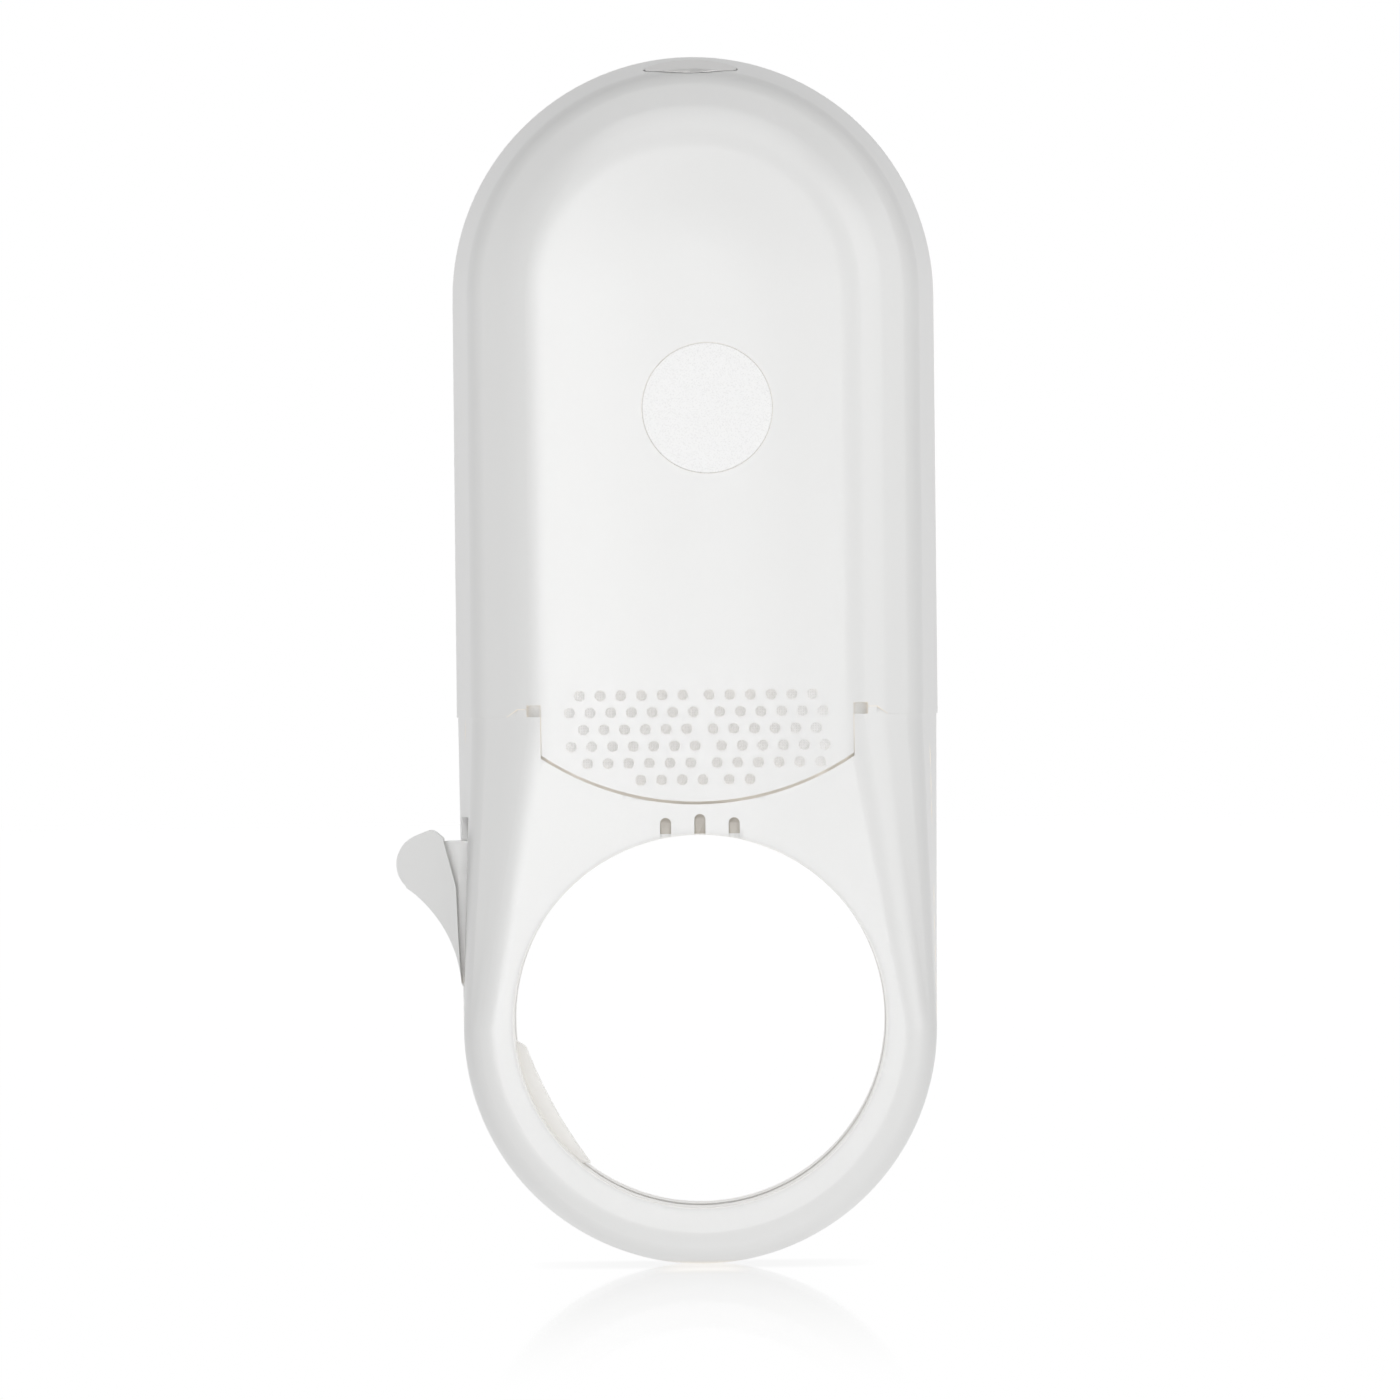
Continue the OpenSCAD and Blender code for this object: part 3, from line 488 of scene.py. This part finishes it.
def lower_form():
    """Outer form of the lower case with its bore."""
    top = rounded_chain("lower_top", half_case(lower_front, lower_back,
                                               half_width - step + 0.02 * MM, front_crown), seam_z)
    bpy.ops.object.mode_set(mode="OBJECT")
    edge = ring_r - skin
    ring = rounded_chain("lower_form", [
        (0, lower_back, 0),
        (edge - 2.8 * MM, lower_back, 1.0 * MM),
        (edge - 0.9 * MM, lower_back - 1.4 * MM, 0.9 * MM),
        (edge - 0.05 * MM, lower_back - 4.0 * MM, 1.2 * MM),
        (edge - 0.35 * MM, lower_front + 4.2 * MM, 0.7 * MM),
        (edge - 0.8 * MM, lower_front + 2.75 * MM, 0.75 * MM),
        (edge - 1.8 * MM, lower_front + 1.12 * MM, 0.9 * MM),
        (edge - 3.7 * MM, lower_front + 0.22 * MM, 1.15 * MM),
        (9.3 * MM, lower_front, 3 * MM),
        (0, lower_front, 0)], -ring_drop)
    bpy.ops.object.mode_set(mode="OBJECT")
    bpy.ops.object.select_all(action="DESELECT")
    top.select_set(True)
    ring.select_set(True)
    bpy.context.view_layer.objects.active = ring
    bpy.ops.object.join()
    bpy.ops.object.mode_set(mode="EDIT")
    bpy.ops.mesh.select_mode(type="EDGE")
    bpy.ops.mesh.select_all(action="SELECT")
    bpy.ops.mesh.bridge_edge_loops(type="SINGLE", number_cuts=10, interpolation="LINEAR")
    select(ring, "EDGE", lambda e: all(abs(v.co.z - seam_z) < touching for v in e.verts))
    bpy.ops.mesh.extrude_region_move(TRANSFORM_OT_translate={"value": (0, 0, upstand + 0.2 * MM)})
    select(ring, "EDGE", lambda e: all(abs(v.co.z + ring_drop) < touching for v in e.verts))
    bpy.ops.mesh.spin(steps=40, angle=math.pi / 2, center=(0, 0, -ring_drop), axis=(0, -1, 0))
    mirrored(ring)
    bpy.ops.mesh.primitive_cylinder_add(vertices=160, radius=bore_r + 0.03 * MM, depth=60 * MM,
                                        rotation=(math.pi / 2, 0, 0))
    bore = bpy.context.object
    bpy.ops.object.transform_apply(rotation=True)
    combine(ring, bore, "DIFFERENCE")
    soften(ring, 0.8 * MM, lambda p: abs(p.xz.length - bore_r) < 0.06 * MM)
    return ring


def slot_shade_and_bore_glow(name):
    """The case plastic with painted shade on the floors of the drip slots above the bore, which are
    darker and warmer. On the bore's wall and on the jaw it has a lower specular level and a painted
    glow."""
    material = cap_plastic.copy()
    material.name = name
    tree = material.node_tree
    shader = next(n for n in tree.nodes if n.type == "BSDF_PRINCIPLED")
    place = next(n for n in tree.nodes if n.type == "TEX_COORD").outputs["Object"]
    split = add_node(tree, "ShaderNodeSeparateXYZ")
    tree.links.new(place, split.inputs[0])
    mask = None
    for axis, limit, kind in (("X", slots_half, "LESS_THAN"), ("X", -slots_half, "GREATER_THAN"),
                              ("Y", lower_front + 0.5 * MM, "GREATER_THAN"), ("Y", 0, "LESS_THAN"),
                              ("Z", slots_low, "GREATER_THAN"), ("Z", slots_high, "LESS_THAN")):
        inside = add_node(tree, "ShaderNodeMath", operation=kind)
        tree.links.new(split.outputs[axis], inside.inputs[0])
        inside.inputs[1].default_value = limit
        if mask:
            both = add_node(tree, "ShaderNodeMath", operation="MULTIPLY")
            tree.links.new(mask.outputs[0], both.inputs[0])
            tree.links.new(inside.outputs[0], both.inputs[1])
            mask = both
        else:
            mask = inside
    flat = add_node(tree, "ShaderNodeVectorMath", operation="MULTIPLY")
    flat.inputs[1].default_value = (1, 0, 1)
    reach = add_node(tree, "ShaderNodeVectorMath", operation="LENGTH")
    sheen = add_node(tree, "ShaderNodeMapRange", From_Min=bore_r + 0.1 * MM,
                     From_Max=bore_r + 0.7 * MM, To_Min=0.1)
    tree.links.new(place, flat.inputs[0])
    tree.links.new(flat.outputs[0], reach.inputs[0])
    tree.links.new(reach.outputs["Value"], sheen.inputs["Value"])
    tree.links.new(sheen.outputs[0], shader.inputs["Specular IOR Level"])
    # Painted glow on the bore's wall and on the jaw.
    wall = add_node(tree, "ShaderNodeMapRange", From_Min=bore_r + 0.3 * MM,
                    From_Max=bore_r + 0.1 * MM, To_Max=0.12)
    glow = add_node(tree, "ShaderNodeMath", operation="ADD")
    tree.links.new(reach.outputs["Value"], wall.inputs["Value"])
    tree.links.new(wall.outputs[0], glow.inputs[0])
    tree.links.new(shader.inputs["Emission Strength"].links[0].from_socket, glow.inputs[1])
    tree.links.new(glow.outputs[0], shader.inputs["Emission Strength"])
    # Painted shade: the floors of the drip slots are tinted darker and warmer.
    slot_shade = add_node(tree, "ShaderNodeMixRGB", Color2=(0.5, 0.46, 0.4, 1))
    socket = shader.inputs["Base Color"]
    tree.links.new(socket.links[0].from_socket, slot_shade.inputs[1])
    tree.links.new(mask.outputs[0], slot_shade.inputs[0])
    tree.links.new(slot_shade.outputs[0], socket)
    return material


lower_plastic = slot_shade_and_bore_glow("lower_plastic")
lower = lower_form()
for node, name in (("lower_front_housing", "front_moulding"),
                   ("lower_rear_housing", "rear_moulding")):
    half = lower.copy()
    half.data = lower.data.copy()
    half.name = name
    scene.collection.objects.link(half)
    combine(half, solid_copy(node), "INTERSECT")
    soften(half, 0.2 * MM, lambda p: p.y < lower_front + 1.2 * MM or abs(p.z - seam_z) < 0.02 * MM
           or (p.x < pocket_x and abs(p.y) > 0.1 * MM))
    bpy.ops.object.mode_set(mode="EDIT")
    select(half, "EDGE", lambda e: all(abs(v.co.y) < 0.01 * MM for v in e.verts))
    bpy.ops.mesh.mark_sharp()
    bpy.ops.object.mode_set(mode="OBJECT")
    smoothed(half)
    dressed(half, lower_plastic, "lower_case", "case_white", node)
bpy.data.objects.remove(lower)


# ---- Clamp lever ----
# One moulding: a thumb tab outside the ring, a pivot barrel and a jaw that stands in the bore.

lever = solid_copy("clamp_lever")
lever.name = "thumb_lever"
bpy.ops.object.mode_set(mode="EDIT")
bpy.ops.mesh.select_all(action="SELECT")
bpy.ops.mesh.dissolve_limited(angle_limit=math.radians(1))
low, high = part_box("clamp_lever")
tab_start = -32.9 * MM
taper = 0.6
bpy.ops.mesh.select_all(action="SELECT")
bpy.ops.mesh.bisect(plane_co=(tab_start, 0, 0), plane_no=(1, 0, 0))
mesh = bmesh.from_edit_mesh(lever.data)
for vert in mesh.verts:
    out = max(0, (tab_start - vert.co.x) / (tab_start - low[0]))
    vert.co.y *= 1 - taper * out
bmesh.update_edit_mesh(lever.data)
bpy.ops.object.mode_set(mode="OBJECT")
soften(lever, 0.5 * MM, lambda p: p.x < tab_start or high[1] - abs(p.y) < 0.01 * MM)
smoothed(lever)
# The lower case's plastic paints a glow on the jaw where it stands in the bore.
dressed(lever, lower_plastic, "lever", "case_white", "clamp_lever")


# ---- Inner parts ----
# Everything inside keeps its frame shape and gets the finish that such a part has: zinc on the
# screws and springs, green solder mask, sleeved cells, dark tray, foam and ferrite.


def paint(material, *nodes):
    """Puts a material on frame nodes that stay as they are."""
    for node in nodes:
        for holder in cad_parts[node].material_slots:
            holder.link = "OBJECT"
            holder.material = material


def metal(name, colour, roughness, brushing):
    """Metal with fine marks that run along one direction."""
    material, tree, shader, place = surface(name, roughness, metallic=1)
    stretch = add_node(tree, "ShaderNodeMapping", Scale=brushing)
    tree.links.new(place, stretch.inputs["Vector"])
    marks = pattern(tree, stretch.outputs[0], "ShaderNodeTexNoise", Scale=1, Detail=4)
    two_tone(tree, marks, shader.inputs["Base Color"], [c * 0.8 for c in colour], colour)
    ranged(tree, marks, shader.inputs["Roughness"], roughness - 0.1, roughness + 0.12)
    relief(tree, shader, marks, 0.2, 0.02 * MM)
    return material


def bands(tree, place, axis, pitch):
    """Even bands across an axis, one to each pitch."""
    return pattern(tree, place, "ShaderNodeTexWave", 1, bands_direction=axis,
                   Scale=math.pi / (10 * pitch))


def between(tree, place, axis, first, second):
    """1 where the place along an axis lies between two values, and 0 elsewhere."""
    split = add_node(tree, "ShaderNodeSeparateXYZ")
    near = add_node(tree, "ShaderNodeMath", operation="COMPARE")
    tree.links.new(place, split.inputs[0])
    tree.links.new(split.outputs[axis], near.inputs[0])
    near.inputs[1].default_value = (first + second) / 2
    near.inputs[2].default_value = (second - first) / 2
    return near.outputs[0]


def woven_mesh():
    """White sound mesh: threads both ways, a third of a millimetre apart."""
    material, tree, shader, place = surface("white_sound_mesh", 0.8)
    thread_pitch = 0.33 * MM
    threads = add_node(tree, "ShaderNodeMath", operation="MAXIMUM")
    tree.links.new(bands(tree, place, "X", thread_pitch), threads.inputs[0])
    tree.links.new(bands(tree, place, "Z", thread_pitch), threads.inputs[1])
    two_tone(tree, threads.outputs[0], shader.inputs["Base Color"], (0.86, 0.86, 0.86),
             (0.95, 0.95, 0.95))
    # Painted glow: the mesh glows faintly, which lightens it where it lies in shade at the floors
    # of the grille holes.
    shader.inputs["Emission Color"].default_value = (0.97, 0.98, 1, 1)
    shader.inputs["Emission Strength"].default_value = 0.05
    relief(tree, shader, threads.outputs[0], 0.5, 0.05 * MM)
    return material


def cell_sleeve():
    """A dry cell: a dark satin sleeve between bare steel ends."""
    material, tree, shader, place = surface("sleeved_cell", 0.3)
    low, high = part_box("cell_left")
    sleeve = between(tree, place, 2, low[2] + 0.8 * MM, high[2] - 2.2 * MM)
    tone = pattern(tree, place, "ShaderNodeTexNoise", Scale=160, Detail=3)
    tint = add_node(tree, "ShaderNodeMixRGB", Color1=(0.03, 0.1, 0.08, 1),
                    Color2=(0.05, 0.15, 0.11, 1))
    tree.links.new(tone, tint.inputs[0])
    mix = add_node(tree, "ShaderNodeMixRGB", Color1=(0.62, 0.62, 0.63, 1))
    tree.links.new(sleeve, mix.inputs[0])
    tree.links.new(tint.outputs[0], mix.inputs[2])
    tree.links.new(mix.outputs[0], shader.inputs["Base Color"])
    ranged(tree, sleeve, shader.inputs["Metallic"], 1, 0)
    relief(tree, shader, tone, 0.15, 0.05 * MM)
    return material


def solder_mask():
    """A green board: copper tracks under the mask in squares, with a faint step at each edge."""
    material, tree, shader, place = surface("green_solder_mask", 0.35)
    cells = pattern(tree, place, "ShaderNodeTexVoronoi", feature="DISTANCE_TO_EDGE",
                    distance="CHEBYCHEV", Scale=420)
    tracks = add_node(tree, "ShaderNodeMapRange", From_Max=0.12)
    tree.links.new(cells, tracks.inputs["Value"])
    two_tone(tree, tracks.outputs[0], shader.inputs["Base Color"], (0.045, 0.25, 0.12),
             (0.03, 0.19, 0.09))
    relief(tree, shader, tracks.outputs[0], 0.3, 0.03 * MM)
    return material


def wound_coil():
    """A coil: copper wire between black ferrite flanges."""
    material, tree, shader, place = surface("wound_coil", 0.4)
    low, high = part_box("boost_coil")
    wire = between(tree, place, 1, low[1] + 1.05 * MM, high[1] - 1.05 * MM)
    two_tone(tree, wire, shader.inputs["Base Color"], (0.05, 0.045, 0.045), (0.7, 0.33, 0.16))
    ranged(tree, wire, shader.inputs["Metallic"], 0, 1)
    relief(tree, shader, bands(tree, place, "Y", 0.3 * MM), 0.6, 0.08 * MM)
    return material


def closed_foam():
    """Dark closed-cell foam."""
    material, tree, shader, place = surface("closed_cell_foam", 0.95)
    cells = pattern(tree, place, "ShaderNodeTexVoronoi", Scale=2400)
    two_tone(tree, cells, shader.inputs["Base Color"], (0.03, 0.03, 0.035),
             (0.09, 0.09, 0.1))
    relief(tree, shader, cells, 0.8, 0.2 * MM)
    return material


paint(woven_mesh(), "acoustic_membrane")
paint(plastic("inner_white_plastic", (0.8, 0.8, 0.78), 0.5, 0.2), "button_retainer")
paint(metal("bright_zinc", (0.66, 0.66, 0.68), 0.3, (900, 900, 900)), "retainer_screws",
      "housing_screws", "tray_screws", "board_screws", "button_spring", "lever_spring", "lever_pin")
paint(metal("nickel_contact", (0.7, 0.68, 0.64), 0.28, (200, 200, 2600)), "contact_springs",
      "contact_plates")
paint(metal("satin_aluminium", (0.74, 0.74, 0.76), 0.38, (2600, 200, 2600)), "capacitors")
paint(plastic("dark_tray_plastic", (0.075, 0.075, 0.08), 0.55, 0.5, drift=0.85), "battery_tray")
paint(plastic("black_plastic", (0.03, 0.03, 0.03), 0.45, 0.4, drift=0.7), "sounder",
      "controller_chip", "tact_switch")
paint(plastic("ivory_plastic", (0.76, 0.72, 0.6), 0.4, 0.1), "switch_plunger")
paint(cell_sleeve(), "cell_left", "cell_middle", "cell_right")
paint(solder_mask(), "circuit_board", "switch_board")
paint(wound_coil(), "boost_coil")
paint(closed_foam(), "sounder_gasket")
